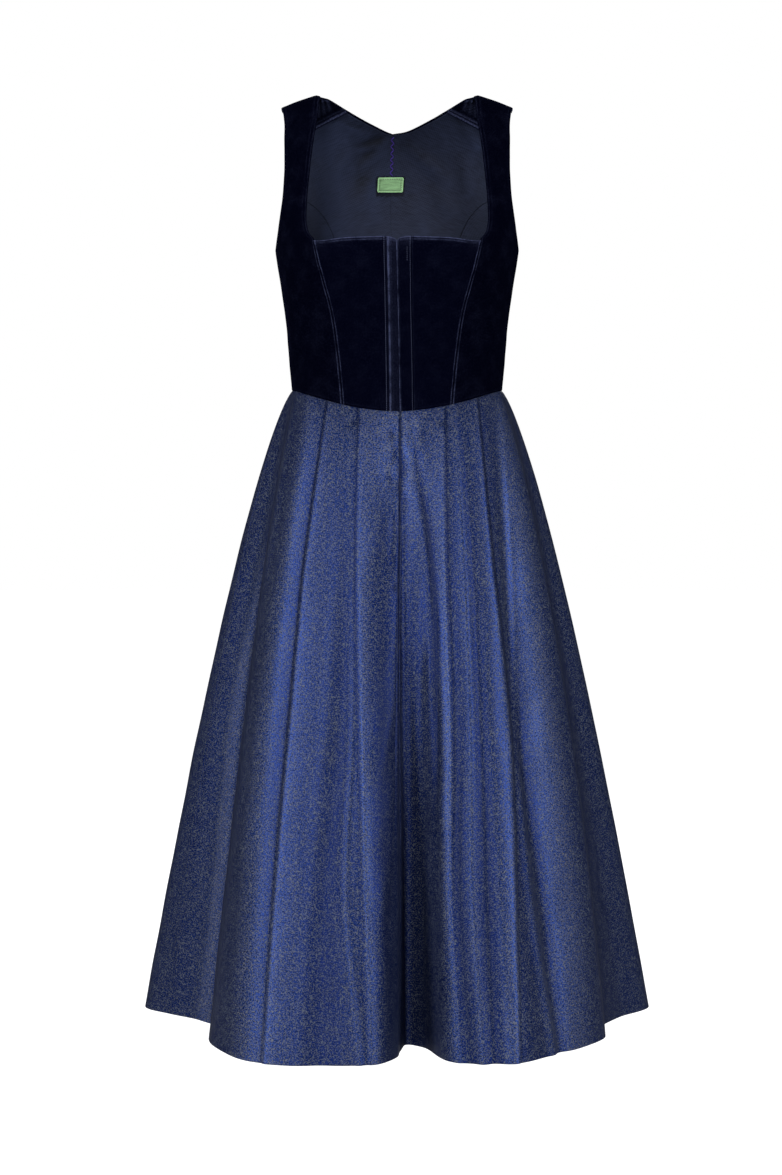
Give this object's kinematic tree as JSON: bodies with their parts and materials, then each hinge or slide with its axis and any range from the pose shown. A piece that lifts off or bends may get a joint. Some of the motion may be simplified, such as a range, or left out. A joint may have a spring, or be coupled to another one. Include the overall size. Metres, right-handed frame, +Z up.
{
  "type": "sleeveless dirndl dress, filled out as worn",
  "caption": "Sleeveless dirndl: a fitted velvet bodice with a square front neck, a closing down the front and a back neck in a V, sewn to a long flared jacquard skirt in soft pleats.",
  "frame": {"origin": "where the wearer's shoulders carry the dress: midway between the inner ends of the two shoulder seams, at the top of the straps", "axes": "+Z up, the front of the dress towards -Y, +X to the right of someone who faces the front"},
  "size_m": [0.643, 0.5897, 1.1508],
  "materials": {
    "velvet": "dark navy velvet with a short upright nap, light along its edges",
    "lining": "dark slate navy plain-weave lining, soft sheen",
    "jacquard": "royal blue satin ground with fine curled grey-brown figure threads",
    "label": "bare green woven label"
  },
  "bodies": {
    "root": {"closure_band_left": "velvet", "closure_band_right": "velvet", "bodice_center_front_left": "velvet", "bodice_center_front_right": "velvet", "bodice_side_front_left": "velvet", "bodice_side_front_right": "velvet", "bodice_side_back_left": "velvet", "bodice_side_back_right": "velvet", "bodice_center_back_left": "velvet", "bodice_center_back_right": "velvet", "shoulder_facing_left": "velvet", "shoulder_facing_right": "velvet", "lining_center_back_left": "lining", "lining_center_back_right": "lining", "lining_side_back_left": "lining", "lining_side_back_right": "lining", "label": "label", "skirt_front_left": "jacquard", "skirt_front_right": "jacquard", "skirt_back": "jacquard"}
  },
  "joints": []
}
